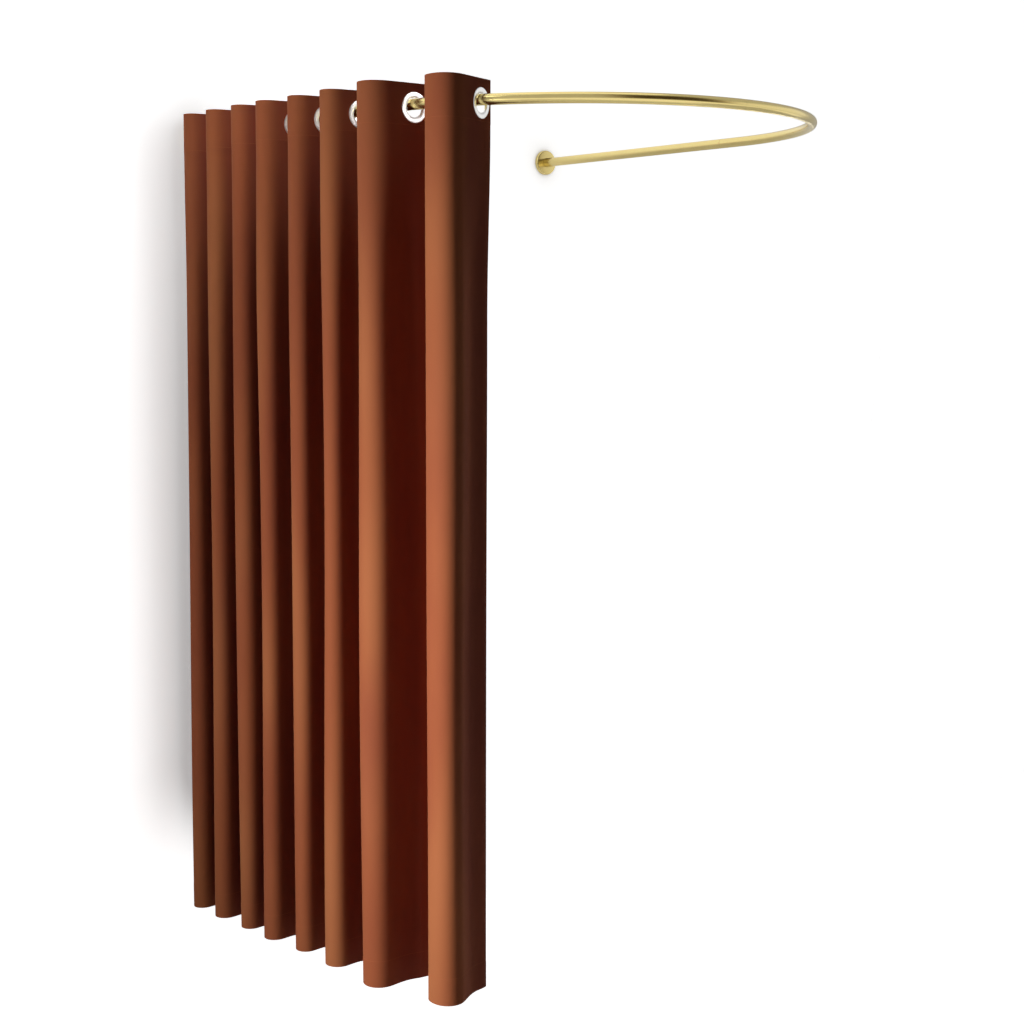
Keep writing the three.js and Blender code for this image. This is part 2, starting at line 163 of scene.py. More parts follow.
class FittingRoomFinish(bpy.types.PropertyGroup):
    """Colours of the pieces and of the studio."""

    brass: colour("Brass", "Rail and roses", (0.80, 0.65, 0.27))
    steel: colour("Steel", "Plates, sleeves and screws", (0.56, 0.57, 0.58))
    eyelet: colour("Eyelet", "Metal of the eyelets", (0.93, 0.93, 0.93))
    # The ridges of the folds keep the cloth colour, while the hollows are painted darker with the
    # deep colour as painted shade
    cloth: colour("Cloth", "Curtain, on the ridges of its folds", (0.385, 0.110, 0.046))
    # Painted highlight: a paler colour laid in long streaks on the ridges of the folds
    cloth_painted_highlight: colour("Cloth, worn", "Curtain, where its ridges are rubbed and faded",
                       (0.50, 0.182, 0.072))
    # Deep colour: random patches of pile, and painted shade in the hollows of the folds
    cloth_deep_and_shade: colour("Cloth, deep", "Curtain, in the hollows and in the depth of its pile",
                       (0.280, 0.066, 0.040))
    wall: colour("Wall", "Wall behind the fitting room", (0.80, 0.80, 0.80))
    floor: colour("Floor", "Floor under the fitting room", (0.80, 0.80, 0.80))


# Where each fold stands along the rail from the left wall, as a share of the arm's length, how wide
# and how deep it is, as a share of the widest and the deepest fold, and how far its flanks lean
# away from the wall, as a share of the foremost fold's lean
FOLD_PLACE_SHARES = (1.32, 1.103, 0.884, 0.705, 0.545, 0.401, 0.246, 0.103)
FOLD_WIDTH_SHARES = (1.0, 1.0, 0.773, 0.75, 0.727, 0.705, 0.682, 0.614)
FOLD_REACH_SHARES = (1.0, 0.913, 0.7, 0.664, 0.728, 0.718, 0.7, 0.684)
FOLD_LEAN_SHARES = (1.0, 0.0, -0.27, -0.27, -0.27, -0.27, -0.27, -0.27)
FOLD_LEAN = math.radians(22)
FOLD_SKEW_SHARE = 0.4  # that a round's front handle is longer than their mean
CURVE_RISE_SHARE = 0.75  # of a cubic's parallel handles that its round rises
CORNER_HANDLE_SHARE = 0.55  # of a corner's side at which a cubic is nearly round

# Curtain in plan: points on a flank and on a round, the even step in which the whole line is laid
# out, and the half-width of the bell that softens its bends
FLANK_POINTS = 60
ROUND_POINTS = 90
PLAN_STEP = 0.001
BEND_SOFTNESS = 0.0045

# Pinch below the header: its share that is left where an outer fold meets an inner one, and the
# shares of a round's rise, of a fold's width and of an inner fold's length at which it ends
NECK_SHARE = 0.75
PINCH_RISE_SHARE = 0.6
PINCH_WIDTH_SHARE = 0.42
PINCH_INNER_SHARE = 0.45

# Ridge of the folds, which is kept free of painted shade and takes the painted highlights: the
# share of an outer fold's reach from which it rises and over which it becomes whole, and the share
# of an inner fold's length over which it does
RIDGE_START_SHARE = 0.35
RIDGE_RISE_SHARE = 0.5
RIDGE_INNER_SHARE = 0.3

# Waves in which the folds wander below the header, as a share of the ripple: the size of each, its
# turn in radians for each metre along the cloth and for the whole drop, and its phase
WANDER_SHARE = 0.45
WANDER_WAVES = ((1.0, 3.1, 4.4, 0.0), (1.0, 7.7, -6.1, 1.3), (0.6, 17.0, 9.0, 0.4))

FEWEST_COLUMNS = 6  # of the mesh along a piece of cloth
HEM_ROWS = 6

# Weave and stitches: the spacing of threads and of stitches, the share of its spacing that a stitch
# takes, half its width, and how far the header's row stands above the end of the doubled cloth
THREAD_SPACING = 0.0011
STITCH_SPACING = 0.0042
STITCH_SHARE = 0.72
STITCH_HALF_WIDTH = 0.0007
SEAM_INSET = 0.004

# Colour of the cloth: the shares of the deep colour that patches of pile and single fibres add,
# and that the hollows add as painted shade, the values of the patches between which they count,
# those of the streaks between which a ridge gets a painted highlight, the share of the highlight
# colour there, and how pale the stitches are
PILE_SHARES = (-0.22, 0.42)
PILE_PATCHES = (0.3, 0.7)
FIBRE_SHARE = 0.12
HOLLOW_SHADE_SHARE = 0.7
HIGHLIGHT_STREAKS = (0.42, 0.74)
HIGHLIGHT_SHARE = 0.7
STITCH_TINT = 1.25
STITCH_TINT_SHARE = 0.5

# Heights of the cloth's weave, fibres and stitches in the bump, relative to each other
WEAVE_HEIGHT = 0.5
FIBRE_HEIGHT = 0.8
STITCH_HEIGHT = 2.0

# Section of an eyelet's lip: the share of the way in from the rim to the bore, and the share of the
# crown's height over the groove. The bevel runs on into the bore.
EYELET_LIP = (
    (0.0, 0.0), (0.0, 0.35), (0.03, 0.76), (0.09, 0.96), (0.20, 1.0), (0.58, 1.0), (0.69, 0.92),
    (0.79, 0.58), (0.88, 0.05), (0.95, -0.55), (1.0, -1.2),
)


def rail_frame(rail, place):
    """Centre point, outward and forward direction of the rail at each place along it, counted from
    the left wall. It runs straight for one arm, turns half a circle of half the span, and runs
    straight back: past the arm, the turn is the distance over the radius, held between nothing and
    half a turn."""
    radius = rail.span / 2
    past = np.asarray(place, float) - rail.arm
    turn = np.clip(past / radius, 0, math.pi)
    out = np.stack([-np.cos(turn), -np.sin(turn)], -1)
    forward = np.stack([np.sin(turn), -np.cos(turn)], -1)
    centre = np.array([-radius, -rail.arm])
    return centre + out * radius + forward * (past - turn * radius)[..., None], out, forward


def rail_length(rail):
    """Length of the rail's centre line from wall to wall."""
    return 2 * rail.arm + math.pi * rail.span / 2


def rail_joints(rail):
    """Places of the three tube joints along the rail."""
    total = rail_length(rail)
    first = rail.arm - rail.tube_lead
    return {"left": first, "front": total / 2, "right": total - first}


def mesh_piece(name, points, faces, material, smooth_below=SMOOTH_BELOW):
    """Mesh object from an array of points and an array of four-cornered faces, shaded smooth up to
    an angle between neighbouring faces, in degrees."""
    mesh = bpy.data.meshes.new(name)
    mesh.vertices.add(len(points))
    mesh.vertices.foreach_set("co", np.asarray(points, np.float32).ravel())
    faces = np.asarray(faces, np.int32)
    mesh.loops.add(faces.size)
    mesh.loops.foreach_set("vertex_index", faces.ravel())
    mesh.polygons.add(len(faces))
    starts = np.arange(0, faces.size, faces.shape[1], dtype=np.int32)
    mesh.polygons.foreach_set("loop_start", starts)
    mesh.update(calc_edges=True)
    mesh.validate()
    mesh.polygons.foreach_set("use_smooth", np.ones(len(mesh.polygons), bool))
    mesh.set_sharp_from_angle(angle=math.radians(smooth_below))
    mesh.materials.append(material)
    piece = bpy.data.objects.new(name, mesh)
    bpy.context.scene.collection.objects.link(piece)
    return piece


def circle(count):
    """Angles of the points of a circle, from nothing up to a full turn."""
    return np.linspace(0, 2 * math.pi, count, endpoint=False)


def ring_faces(rows, columns):
    """Four-cornered faces of a grid of points joined back to its start in both directions."""
    i, j = np.meshgrid(np.arange(rows), np.arange(columns), indexing="ij")
    next_i, next_j = (i + 1) % rows, (j + 1) % columns
    corners = (i * columns + j, next_i * columns + j, next_i * columns + next_j,
               i * columns + next_j)
    return np.stack(corners, -1).reshape(-1, 4)


def outward(points, faces):
    """The faces, turned round if the closed surface they make encloses a negative volume."""
    a, b, c, d = (points[faces[:, k]] for k in range(4))
    volume = np.einsum("ij,ij->", a, np.cross(b, c)) + np.einsum("ij,ij->", a, np.cross(c, d))
    return faces if volume > 0 else faces[:, ::-1]


def ring_piece(name, grid, material):
    """Mesh object from a grid of points that closes on itself both ways, its faces pointing out."""
    rows, columns = grid.shape[:2]
    points = grid.reshape(-1, 3)
    return mesh_piece(name, points, outward(points, ring_faces(rows, columns)), material)


def cubic_points(start, one, two, end, t):
    """Points of a cubic curve between two ends, drawn towards two handles, at each share t of the
    way: (1 - t)^3 start + 3 (1 - t)^2 t one + 3 (1 - t) t^2 two + t^3 end."""
    return ((1 - t) ** 3 * start + 3 * (1 - t) ** 2 * t * one
            + 3 * (1 - t) * t ** 2 * two + t ** 3 * end)


def rounded(before, corner, after, radius, steps):
    """Points of an arc that replaces a corner between two points: the corner's two sides are cut
    back by the radius and joined by a curve that leaves and meets them straight."""
    before, at, after = (np.array(point, float) for point in (before, corner, after))
    start = at + (before - at) / np.linalg.norm(before - at) * radius
    end = at + (after - at) / np.linalg.norm(after - at) * radius
    one = start + (at - start) * CORNER_HANDLE_SHARE
    two = end + (at - end) * CORNER_HANDLE_SHARE
    return cubic_points(start, one, two, end, np.linspace(0, 1, steps + 1)[:, None])


def new_material(name):
    """Material by name, with its node tree and its one shader, or with neither if made already."""
    found = bpy.data.materials.get(name)
    if found:
        return found, None, None
    material = bpy.data.materials.new(name)
    material.use_nodes = True
    tree = material.node_tree
    tree.nodes.clear()
    output = tree.nodes.new("ShaderNodeOutputMaterial")
    shader = tree.nodes.new("ShaderNodeBsdfPrincipled")
    tree.links.new(shader.outputs["BSDF"], output.inputs["Surface"])
    return material, tree, shader


def noise(tree, coordinates, scale, detail, stretch=(1, 1, 1)):
    """Noise texture on given coordinates, stretched by a Mapping node."""
    mapping = tree.nodes.new("ShaderNodeMapping")
    mapping.inputs["Scale"].default_value = stretch
    texture = tree.nodes.new("ShaderNodeTexNoise")
    texture.inputs["Scale"].default_value = scale
    texture.inputs["Detail"].default_value = detail
    tree.links.new(coordinates, mapping.inputs["Vector"])
    tree.links.new(mapping.outputs["Vector"], texture.inputs["Vector"])
    return texture.outputs["Fac"]


def ranged(tree, value, low, high, from_low=0.0, from_high=1.0):
    """Value moved from one range to another."""
    node = tree.nodes.new("ShaderNodeMapRange")
    node.inputs["From Min"].default_value = from_low
    node.inputs["From Max"].default_value = from_high
    node.inputs["To Min"].default_value = low
    node.inputs["To Max"].default_value = high
    tree.links.new(value, node.inputs["Value"])
    return node.outputs["Result"]


def softened(tree, value, nothing_at, all_at):
    """Share that rises smoothly from 0 to 1 between two values."""
    node = tree.nodes.new("ShaderNodeMapRange")
    node.interpolation_type = "SMOOTHSTEP"
    node.inputs["From Min"].default_value = nothing_at
    node.inputs["From Max"].default_value = all_at
    tree.links.new(value, node.inputs["Value"])
    return node.outputs["Result"]


def maths(tree, operation, first, second=0.0):
    """Math node on links or numbers."""
    node = tree.nodes.new("ShaderNodeMath")
    node.operation = operation
    for socket, value in zip(node.inputs, (first, second)):
        if isinstance(value, (int, float)):
            socket.default_value = value
        else:
            tree.links.new(value, socket)
    return node.outputs["Value"]


def mixed(tree, share, first, second):
    """Colour mixed from two colours by a share."""
    node = tree.nodes.new("ShaderNodeMix")
    node.data_type = "RGBA"
    for key, value in (("Factor_Float", share), ("A_Color", first), ("B_Color", second)):
        socket = next(s for s in node.inputs if s.identifier == key)
        if isinstance(value, (int, float, tuple)):
            socket.default_value = value
        else:
            tree.links.new(value, socket)
    return next(s for s in node.outputs if s.identifier == "Result_Color")


def bumped(tree, shader, height, strength, distance):
    """Bump from a height, given to the shader's normal."""
    node = tree.nodes.new("ShaderNodeBump")
    node.inputs["Strength"].default_value = strength
    node.inputs["Distance"].default_value = distance
    tree.links.new(height, node.inputs["Height"])
    tree.links.new(node.outputs["Normal"], shader.inputs["Normal"])


def shade(values, factor=1.0):
    """Colour with alpha from a property, lightened or darkened by a factor."""
    return tuple(min(1.0, v * factor) for v in values) + (1.0,)


def metal(name, tint, roughness, wander, scratch_scale, scratch_depth, stretch):
    """Polished or satin metal: its roughness wanders in soft patches and fine lines from handling
    lift its normal a little."""
    material, tree, shader = new_material(name)
    if tree is None:
        return material
    place = tree.nodes.new("ShaderNodeTexCoord").outputs["Object"]
    patches = noise(tree, place, scale=22.0, detail=3.0)
    fine = noise(tree, place, scratch_scale, detail=5.0, stretch=stretch)
    base = mixed(tree, patches, shade(tint, 0.95), shade(tint, 1.04))
    tree.links.new(base, shader.inputs["Base Color"])
    handled = ranged(tree, patches, roughness - wander, roughness + wander)
    tree.links.new(handled, shader.inputs["Roughness"])
    shader.inputs["Metallic"].default_value = 1.0
    bumped(tree, shader, fine, strength=0.06, distance=scratch_depth)
    return material


def brass_finish(finish):
    """Polished brass of the rail and roses."""
    return metal("polished_brass", finish.brass, roughness=0.22, wander=0.04, scratch_scale=260.0,
                 scratch_depth=0.0002, stretch=(1, 1, 6))


def steel_finish(finish):
    """Satin steel of plates, sleeves and screws."""
    return metal("satin_steel", finish.steel, roughness=0.38, wander=0.05, scratch_scale=420.0,
                 scratch_depth=0.0002, stretch=(1, 4, 1))


def eyelet_finish(finish):
    """Bright plated metal of the eyelets."""
    return metal("plated_eyelet", finish.eyelet, roughness=0.30, wander=0.04, scratch_scale=300.0,
                 scratch_depth=0.0001, stretch=(1, 1, 1))


def seam_heights(curtain):
    """Heights at which the doubled header ends and the bottom hem begins, from the top down."""
    return curtain.rise - curtain.header_depth, curtain.rise - curtain.drop + curtain.hem_depth


def cloth_finish(finish, curtain):
    """Dense rust-brown cloth with a short pile. The map on the cloth is in metres, along the cloth
    and up it. The hollows of the folds are painted darker as painted shade, the ridges get painted
    highlights in long paler streaks, and the colour wanders between pile that lies flat and pile
    that stands, in patches drawn out up the drop. Crossed threads give a fine weave, and two rows
    of stitches hold the header and the bottom hem."""
    material, tree, shader = new_material("rust_curtain_cloth")
    if tree is None:
        return material
    nodes, links = tree.nodes, tree.links
    chart = nodes.new("ShaderNodeUVMap")
    chart.uv_map = "cloth_map"
    place = chart.outputs["UV"]
    parts = nodes.new("ShaderNodeSeparateXYZ")
    links.new(place, parts.inputs["Vector"])
    along, up = parts.outputs["X"], parts.outputs["Y"]
    layer = nodes.new("ShaderNodeAttribute")
    layer.attribute_name = "hollow_shade"
    hollow_shade = layer.outputs["Fac"]
    patches = noise(tree, place, scale=9.0, detail=4.0, stretch=(1.0, 0.22, 1.0))
    fibres = noise(tree, place, scale=900.0, detail=2.0, stretch=(1.0, 0.35, 1.0))
    streaks = noise(tree, place, scale=3.2, detail=1.0, stretch=(1.7, 0.42, 1.0))

    # The deep colour comes from random patches of pile and fibres, and as painted shade in the
    # hollows of the folds
    pile = ranged(tree, patches, *PILE_SHARES, *PILE_PATCHES)
    deep = maths(tree, "ADD", pile, ranged(tree, fibres, -FIBRE_SHARE, FIBRE_SHARE))
    deep = maths(tree, "ADD", deep, maths(tree, "MULTIPLY", hollow_shade, HOLLOW_SHADE_SHARE))
    base = mixed(tree, deep, shade(finish.cloth), shade(finish.cloth_deep_and_shade))
    # Painted highlight: the paler colour laid in long streaks on the ridges, kept out of the
    # hollows
    highlighted = softened(tree, streaks, *HIGHLIGHT_STREAKS)
    highlighted = maths(tree, "MULTIPLY", highlighted, ranged(tree, hollow_shade, HIGHLIGHT_SHARE, 0.0))
    base = mixed(tree, highlighted, base, shade(finish.cloth_painted_highlight))

    thread = 2 * math.pi / THREAD_SPACING
    warp = maths(tree, "SINE", maths(tree, "MULTIPLY", along, thread))
    weft = maths(tree, "SINE", maths(tree, "MULTIPLY", up, thread))
    weave = maths(tree, "MULTIPLY", warp, weft)

    header_end, hem = seam_heights(curtain)
    rows = []
    for seam in (header_end + SEAM_INSET, hem):
        away = maths(tree, "ABSOLUTE", maths(tree, "SUBTRACT", up, seam))
        rows.append(maths(tree, "LESS_THAN", away, STITCH_HALF_WIDTH))
    dash = maths(tree, "FRACT", maths(tree, "DIVIDE", along, STITCH_SPACING))
    dash = maths(tree, "LESS_THAN", dash, STITCH_SHARE)
    stitch = maths(tree, "MULTIPLY", maths(tree, "ADD", *rows), dash)
    stitched = maths(tree, "MULTIPLY", stitch, STITCH_TINT_SHARE)
    base = mixed(tree, stitched, base, shade(finish.cloth, STITCH_TINT))
    links.new(base, shader.inputs["Base Color"])

    height = maths(tree, "ADD", maths(tree, "MULTIPLY", weave, WEAVE_HEIGHT),
                   maths(tree, "MULTIPLY", stitch, STITCH_HEIGHT))
    height = maths(tree, "ADD", height, maths(tree, "MULTIPLY", fibres, FIBRE_HEIGHT))
    bumped(tree, shader, height, strength=0.35, distance=0.0002)
    links.new(ranged(tree, patches, 0.62, 0.74), shader.inputs["Roughness"])
    shader.inputs["Specular IOR Level"].default_value = 0.03
    shader.inputs["Sheen Weight"].default_value = 0.14
    shader.inputs["Sheen Roughness"].default_value = 0.45
    shader.inputs["Sheen Tint"].default_value = (1.0, 0.50, 0.28, 1.0)
    return material


# What metal mirrors of the wall and floor: its share where they are dimmest, and the places on X
# between which they dim to the right
MIRROR_LOW = 0.4
MIRROR_RIGHT = (0.9, 0.2)

# Close shadow on the wall: the share of the glow that is left in it, the shares of nearby cover at
# which it begins and is full, and the heights between which it fades out towards the floor
SHADOW_LOW = 0.36
SHADOW_COVER = (0.01, 0.52)
SHADOW_HEIGHTS = (-1.9, -1.6)

WHITE = (1.0, 1.0, 1.0, 1.0)


def pale_finish(name, tint, scale, glow, axis, dim_at, bright_at, close_shadow=0.0):
    """Matt painted surface of the studio. To the camera and to polished metal it glows most of the
    way to white, and the rest is light that falls on it, so soft shadows stay. What metal mirrors
    gets dimmer between two places on an axis, near the fitting room, and to the right. With a close
    shadow, the glow fades where something stands nearer to the surface than that distance. From
    behind it can't be seen."""
    material, tree, shader = new_material(name)
    if tree is None:
        return material
    nodes, links = tree.nodes, tree.links
    place = nodes.new("ShaderNodeTexCoord").outputs["Object"]
    patches = noise(tree, place, scale, detail=3.0)
    base = mixed(tree, patches, shade(tint, 0.99), shade(tint, 1.01))
    links.new(base, shader.inputs["Base Color"])
    shader.inputs["Roughness"].default_value = 0.9
    shader.inputs["Specular IOR Level"].default_value = 0.1
    path = nodes.new("ShaderNodeLightPath")
    parts = nodes.new("ShaderNodeSeparateXYZ")
    links.new(place, parts.inputs["Vector"])
    mirrored = maths(tree, "MULTIPLY", softened(tree, parts.outputs[axis], dim_at, bright_at),
                     softened(tree, parts.outputs["X"], *MIRROR_RIGHT))
    mirrored = ranged(tree, mirrored, MIRROR_LOW, 1.0)
    mirrored = maths(tree, "MULTIPLY", mirrored, path.outputs["Is Glossy Ray"])
    looked_at = maths(tree, "MAXIMUM", path.outputs["Is Camera Ray"], mirrored)
    looked_at = maths(tree, "MAXIMUM", looked_at, path.outputs["Is Transmission Ray"])
    shader.inputs["Emission Color"].default_value = WHITE
    strength = maths(tree, "MULTIPLY", looked_at, glow)
    if close_shadow:
        nearby = nodes.new("ShaderNodeAmbientOcclusion")
        nearby.inputs["Distance"].default_value = close_shadow
        cover = maths(tree, "SUBTRACT", 1.0, nearby.outputs["AO"])
        fading = softened(tree, parts.outputs["Z"], *SHADOW_HEIGHTS)
        cover = maths(tree, "MULTIPLY", cover, fading)
        left = ranged(tree, cover, 1.0, SHADOW_LOW, *SHADOW_COVER)
        strength = maths(tree, "MULTIPLY", strength, left)
    links.new(strength, shader.inputs["Emission Strength"])
    surface = shader.outputs["BSDF"].links[0].to_socket
    either = nodes.new("ShaderNodeMixShader")
    links.new(nodes.new("ShaderNodeNewGeometry").outputs["Backfacing"], either.inputs["Fac"])
    links.new(shader.outputs["BSDF"], either.inputs[1])
    links.new(nodes.new("ShaderNodeBsdfTransparent").outputs["BSDF"], either.inputs[2])
    links.new(either.outputs["Shader"], surface)
    return material


def tube_piece(name, rail, start, end, step, material):
    """Thick-walled tube along the rail. Its profile runs along the outside from start to end, over
    the broken edge and end face into the bore, back along the bore and out again, and is carried
    round the centre line: point = centre + radius (outward cos u + up sin u)."""
    outer = rail.tube_diameter / 2
    inner = outer - rail.tube_wall
    edge = rail.tube_edge
    count = max(3, int(round((end - start) / step)) + 1)
    inside = np.linspace(start + edge, end - edge, count)
    places = np.concatenate([inside, [end, end], inside[::-1], [start, start]])
    radii = np.concatenate([
        np.full(count, outer), [outer - edge, inner + edge],
        np.full(count, inner), [inner + edge, outer - edge],
    ])[:, None]
    around = circle(TUBE_SIDES)
    centre, out, _ = rail_frame(rail, places)
    across = radii * np.cos(around)
    points = np.empty((len(places), TUBE_SIDES, 3))
    points[..., :2] = centre[:, None, :] + out[:, None, :] * across[..., None]
    points[..., 2] = radii * np.sin(around)
    return ring_piece(name, points, material)


def drill(piece, centres, radius, low, high):
    """Round holes cut upward into the underside of a tube, at plan points, from one distance below
    the centre line to a smaller one."""
    around = circle(HOLE_SIDES)
    walls = [(i, (i + 1) % HOLE_SIDES, HOLE_SIDES + (i + 1) % HOLE_SIDES, HOLE_SIDES + i)
             for i in range(HOLE_SIDES)]
    caps = [tuple(range(HOLE_SIDES - 1, -1, -1)), tuple(range(HOLE_SIDES, 2 * HOLE_SIDES))]
    cutters = []
    for number, (x, y) in enumerate(centres):
        ring = np.stack([x + radius * np.cos(around), y + radius * np.sin(around)], -1)
        rings = [np.column_stack([ring, np.full(HOLE_SIDES, -depth)]) for depth in (low, high)]
        mesh = bpy.data.meshes.new(f"{piece.name}_cutter_{number}")
        mesh.from_pydata(np.vstack(rings).tolist(), [], walls + caps)
        cutter = bpy.data.objects.new(mesh.name, mesh)
        bpy.context.scene.collection.objects.link(cutter)
        modifier = piece.modifiers.new(f"hole_{number}", "BOOLEAN")
        modifier.operation = "DIFFERENCE"
        modifier.solver = "EXACT"
        modifier.object = cutter
        cutters.append(cutter)
    bpy.context.view_layer.update()
    evaluated = piece.evaluated_get(bpy.context.evaluated_depsgraph_get())
    mesh = bpy.data.meshes.new_from_object(evaluated)
    piece.modifiers.clear()
    old = piece.data
    piece.data = mesh
    mesh.name = piece.name
    bpy.data.meshes.remove(old)
    for cutter in cutters:
        old = cutter.data
        bpy.data.objects.remove(cutter)
        bpy.data.meshes.remove(old)
    mesh.polygons.foreach_set("use_smooth", np.ones(len(mesh.polygons), bool))
    mesh.set_sharp_from_angle(angle=math.radians(DRILLED_SMOOTH_BELOW))


class FITTINGROOM_OT_tubes(bpy.types.Operator):
    """Build the four brass tubes of the rail"""

    bl_idname = "fittingroom.tubes"
    bl_label = "Rail Tubes"

    def execute(self, context):
        rail = context.scene.fitting_room_rail
        material = brass_finish(context.scene.fitting_room_finish)
        total = rail_length(rail)
        joints = rail_joints(rail)
        half = rail.joint_gap / 2
        wall_end = rail.plate_thickness + rail.joint_gap
        plate_screw = rail.plate_thickness + rail.plate_screw_offset
        beside = {key: [place - rail.screw_offset, place + rail.screw_offset]
                  for key, place in joints.items()}
        runs = (
            ("left_arm_tube", wall_end, joints["left"] - half, ARM_STEP, plate_screw, ["left"]),
            ("left_bend_tube", joints["left"] + half, joints["front"] - half, BEND_STEP, None,
             ["left", "front"]),
            ("right_bend_tube", joints["front"] + half, joints["right"] - half, BEND_STEP, None,
             ["front", "right"]),
            ("right_arm_tube", joints["right"] + half, total - wall_end, ARM_STEP,
             total - plate_screw, ["right"]),
        )
        low, high = rail.tube_diameter, rail.tube_diameter / 4
        joint_hole = rail.screw_diameter / 2 + rail.screw_play
        plate_hole = rail.plate_screw_diameter / 2 + rail.screw_play
        for name, start, end, step, own_screw, sides in runs:
            piece = tube_piece(f"brass_{name}", rail, start, end, step, material)
            places = [place for side in sides for place in beside[side] if start < place < end]
            drill(piece, rail_frame(rail, places)[0], joint_hole, low, high)
            if own_screw is not None:
                drill(piece, rail_frame(rail, [own_screw])[0], plate_hole, low, high)
            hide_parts(name)
            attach(piece, "rail")
        return {"FINISHED"}


class FITTINGROOM_OT_roses(bpy.types.Operator):
    """Build the two brass wall roses"""

    bl_idname = "fittingroom.roses"
    bl_label = "Wall Roses"

    def execute(self, context):
        rail = context.scene.fitting_room_rail
        material = brass_finish(context.scene.fitting_room_finish)
        outside = rail.rose_diameter / 2
        inside = outside - rail.rose_wall
        hole = rail.tube_diameter / 2 + rail.joint_gap
        back = rail.joint_gap
        face = rail.rose_depth
        inner_face = face - rail.rose_wall
        edge = rail.rose_edge
        profile = np.concatenate([
            [(outside, back)],
            rounded((outside, back), (outside, face), (hole, face), edge, ROSE_EDGE_STEPS),
            [(hole + rail.tube_edge, face), (hole, face - rail.tube_edge), (hole, inner_face)],
            rounded((hole, inner_face), (inside, inner_face), (inside, back),
                    edge - rail.rose_wall, ROSE_EDGE_STEPS),
            [(inside, back)],
        ])
        around = circle(ROSE_SIDES)
        for side, x in (("right", 0.0), ("left", -rail.span)):
            points = np.empty((len(profile), ROSE_SIDES, 3))
            points[..., 0] = x + profile[:, :1] * np.cos(around)
            points[..., 1] = -profile[:, 1:]
            points[..., 2] = profile[:, :1] * np.sin(around)
            piece = ring_piece(f"brass_{side}_rose", points, material)
            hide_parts(f"{side}_wall_cover")
            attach(piece, "rail")
        return {"FINISHED"}


class FITTINGROOM_OT_fittings(bpy.types.Operator):
    """Give the plates, sleeves and screws their satin steel"""

    bl_idname = "fittingroom.fittings"
    bl_label = "Steel Fittings"

    def execute(self, context):
        material = steel_finish(context.scene.fitting_room_finish)
        for name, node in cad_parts.items():
            if "plate" in name or "sleeve" in name or "screw" in name:
                node.data.materials.clear()
                node.data.materials.append(material)
        return {"FINISHED"}


def fold_plan(rail, curtain, index):
    """Plan of one outer fold: its outward direction and the one along the rail, the two points
    where its flanks cross the rail, how far the flanks run straight, how far the round rises past
    them, and the fold's width."""
    width = FOLD_WIDTH_SHARES[index] * curtain.fold_width
    reach = FOLD_REACH_SHARES[index] * curtain.fold_reach
    place = FOLD_PLACE_SHARES[index] * rail.arm
    lean = FOLD_LEAN_SHARES[index] * FOLD_LEAN
    out = np.array([-math.cos(lean), -math.sin(lean)])
    back, front = rail_frame(rail, [place - width / 2, place + width / 2])[0]
    flank = max(reach - width / 2, curtain.inner_flank)
    return {"out": out, "along": np.array([-out[1], out[0]]), "back": back, "front": front,
            "flank": flank, "rise": reach - flank, "width": width}


def straight(start, end):
    """Points on a straight line, without its last."""
    share = np.linspace(0, 1, FLANK_POINTS, endpoint=False)[:, None]
    return start + (end - start) * share


def cubic(start, start_way, end, end_way, rise, skew):
    """Round between two points: a cubic whose two handles run along the given ways, the far one
    longer and the near one shorter than their mean by a share, without its last point."""
    handle = rise / CURVE_RISE_SHARE
    one, two = start + start_way * handle * (1 - skew), end + end_way * handle * (1 + skew)
    share = np.linspace(0, 1, ROUND_POINTS, endpoint=False)[:, None]
    return cubic_points(start, one, two, end, share)


def eased(points, sigma, spacing):
    """Line whose bends are softened by a running average over a bell of the given half-width, while
    its two ends stay where they are."""
    reach = int(math.ceil(3 * sigma / spacing))
    bell = np.exp(-0.5 * (np.arange(-reach, reach + 1) * spacing / sigma) ** 2)
    bell /= bell.sum()
    ahead = 2 * points[0] - points[reach:0:-1]
    behind = 2 * points[-1] - points[-2:-reach - 2:-1]
    padded = np.vstack([ahead, points, behind])
    return np.stack([np.convolve(padded[:, k], bell, "valid") for k in (0, 1)], -1)


def resampled(way, known_at, values):
    """Plan points or directions at some distances along a line, from those known at others."""
    return np.stack([np.interp(way, known_at, values[:, k]) for k in (0, 1)], -1)


def smooth_step(value):
    """Share that leaves 0 and meets 1 without a kink."""
    t = np.clip(value, 0, 1)
    return t * t * (3 - 2 * t)


